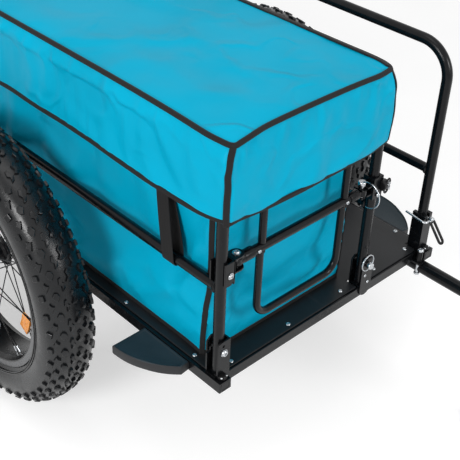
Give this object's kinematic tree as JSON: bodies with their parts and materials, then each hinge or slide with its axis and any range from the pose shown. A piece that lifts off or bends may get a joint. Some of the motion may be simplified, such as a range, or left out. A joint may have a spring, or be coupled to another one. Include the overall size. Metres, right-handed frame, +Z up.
{
  "type": "beach bike trailer",
  "caption": "Two-wheel beach trailer for a bicycle: low tube bed, fat tyres, fabric tub with lid between hoops, hinged end gates, lift-out board rack, and a drawbar with stand.",
  "frame": {"origin": "on the ground, under the middle of the whole trailer's box", "axes": "+X towards the bicycle, along the bed and drawbar; +Y to the trailer's left; +Z up"},
  "size_m": [1.8088, 0.8492, 0.736],
  "materials": {
    "black_powder_coat": "satin black powder coat on tube and plate",
    "floor_sheet": "dark grey plastic-faced sheet",
    "guard_plastic": "dark slate moulded foam plastic",
    "zinc": "bright zinc plate",
    "teal_cloth": "coated teal polyester, black binding",
    "webbing": "black webbing",
    "tyre": "matt black rubber",
    "rim_paint": "satin black rim",
    "hub_and_spoke_black": "black hub and spokes",
    "amber_plastic": "clear amber reflector",
    "axle_steel": "bright steel axle"
  },
  "bodies": {
    "trailer_frame": {"side_rail_right": "black_powder_coat", "side_rail_left": "black_powder_coat", "front_cross_rail": "black_powder_coat", "front_cross_member": "black_powder_coat", "rear_cross_member": "black_powder_coat", "rear_cross_rail": "black_powder_coat", "axle_beam": "black_powder_coat", "floor_panel": "floor_sheet", "wheel_guard_right": "guard_plastic", "wheel_guard_left": "guard_plastic", "hoop_right": "black_powder_coat", "hoop_inner": "black_powder_coat", "post_foot_right_front": "black_powder_coat", "post_foot_right_rear": "black_powder_coat", "post_bolt_front": "zinc", "post_bolt_rear": "zinc", "post_foot_inner_front": "black_powder_coat", "post_foot_inner_rear": "black_powder_coat", "rack_socket_front": "black_powder_coat", "rack_socket_rear": "black_powder_coat", "front_hinge_bracket": "black_powder_coat", "front_hinge_bolt": "zinc", "front_latch_bracket": "black_powder_coat", "rear_hinge_bracket": "black_powder_coat", "rear_hinge_bolt": "zinc", "rear_latch_bracket": "black_powder_coat", "fabric_tub": "teal_cloth", "tub_strap_front": "webbing", "tub_strap_rear": "webbing", "stub_axle_right": "axle_steel", "stub_axle_left": "axle_steel", "drawbar": "black_powder_coat", "drawbar_bolt_front": "zinc", "drawbar_bolt_rear": "zinc", "stand_bracket": "black_powder_coat", "coupling_fork": "black_powder_coat"},
    "foot_pin_front": {"foot_ring_pin_front": "zinc"},
    "foot_pin_rear": {"foot_ring_pin_rear": "zinc"},
    "board_rack": {"hoop_board_rack": "black_powder_coat"},
    "rack_pin_front": {"rack_locking_pin_front": "zinc"},
    "rack_pin_rear": {"rack_locking_pin_rear": "zinc"},
    "front_gate": {"front_gate_frame": "black_powder_coat", "front_gate_upper_loop": "black_powder_coat"},
    "front_latch_pin": {"front_latch_ring_pin": "zinc"},
    "rear_gate": {"rear_gate_frame": "black_powder_coat", "rear_gate_upper_loop": "black_powder_coat"},
    "rear_latch_pin": {"rear_latch_ring_pin": "zinc"},
    "lid": {"lid_top": "teal_cloth", "lid_skirt": "teal_cloth"},
    "right_wheel": {"tyre_right": "tyre", "rim_right": "rim_paint", "hub_and_spokes_right": "hub_and_spoke_black", "spoke_reflector_right": "amber_plastic"},
    "left_wheel": {"tyre_left": "tyre", "rim_left": "rim_paint", "hub_and_spokes_left": "hub_and_spoke_black", "spoke_reflector_left": "amber_plastic"},
    "stand": {"stand_leg": "black_powder_coat"},
    "coupling_swivel": {"coupling_tongue": "black_powder_coat"},
    "hitch_pin": {"hitch_ring_pin": "zinc"}
  },
  "joints": [
    {"name": "right_wheel_turn", "type": "hinge", "parent": "trailer_frame", "child": "right_wheel", "pos_m": [-0.34, -0.369, 0.293], "axis": [0, 1, 0], "continuous": true},
    {"name": "left_wheel_turn", "type": "hinge", "parent": "trailer_frame", "child": "left_wheel", "pos_m": [-0.34, 0.369, 0.293], "axis": [0, 1, 0], "continuous": true},
    {"name": "lid_lift", "type": "slide", "parent": "trailer_frame", "child": "lid", "axis": [0, 0, 1], "range_m": [0, 0.2]},
    {"name": "front_gate_swing", "type": "hinge", "parent": "trailer_frame", "child": "front_gate", "pos_m": [0.1745, -0.231, 0.5136], "axis": [0, 0, -1], "range_deg": [0, 100], "deforming": ["lid_skirt"]},
    {"name": "rear_gate_swing", "type": "hinge", "parent": "trailer_frame", "child": "rear_gate", "pos_m": [-0.8545, -0.231, 0.5136], "axis": [0, 0, 1], "range_deg": [0, 100], "deforming": ["lid_skirt"]},
    {"name": "front_latch_pin_lift", "type": "slide", "parent": "front_gate", "child": "front_latch_pin", "axis": [0, 0, 1], "range_m": [0, 0.03]},
    {"name": "rear_latch_pin_lift", "type": "slide", "parent": "rear_gate", "child": "rear_latch_pin", "axis": [0, 0, 1], "range_m": [0, 0.03]},
    {"name": "board_rack_lift", "type": "slide", "parent": "trailer_frame", "child": "board_rack", "axis": [0, 0, 1], "range_m": [0, 0.085]},
    {"name": "rack_pin_front_pull", "type": "slide", "parent": "board_rack", "child": "rack_pin_front", "axis": [1, 0, 0], "range_m": [0, 0.04]},
    {"name": "rack_pin_rear_pull", "type": "slide", "parent": "board_rack", "child": "rack_pin_rear", "axis": [-1, 0, 0], "range_m": [0, 0.04]},
    {"name": "foot_pin_front_pull", "type": "slide", "parent": "trailer_frame", "child": "foot_pin_front", "axis": [1, 0, 0], "range_m": [0, 0.035]},
    {"name": "foot_pin_rear_pull", "type": "slide", "parent": "trailer_frame", "child": "foot_pin_rear", "axis": [-1, 0, 0], "range_m": [0, 0.035]},
    {"name": "stand_fold", "type": "hinge", "parent": "trailer_frame", "child": "stand", "pos_m": [0.4, 0.255, 0.238], "axis": [0, 1, 0], "range_deg": [0, 90]},
    {"name": "coupling_turn", "type": "hinge", "parent": "trailer_frame", "child": "coupling_swivel", "pos_m": [0.8464, 0.11, 0.335], "axis": [0, 0, 1], "range_deg": [-60, 60]},
    {"name": "hitch_pin_lift", "type": "slide", "parent": "coupling_swivel", "child": "hitch_pin", "axis": [0, 0, 1], "range_m": [0, 0.045]}
  ]
}
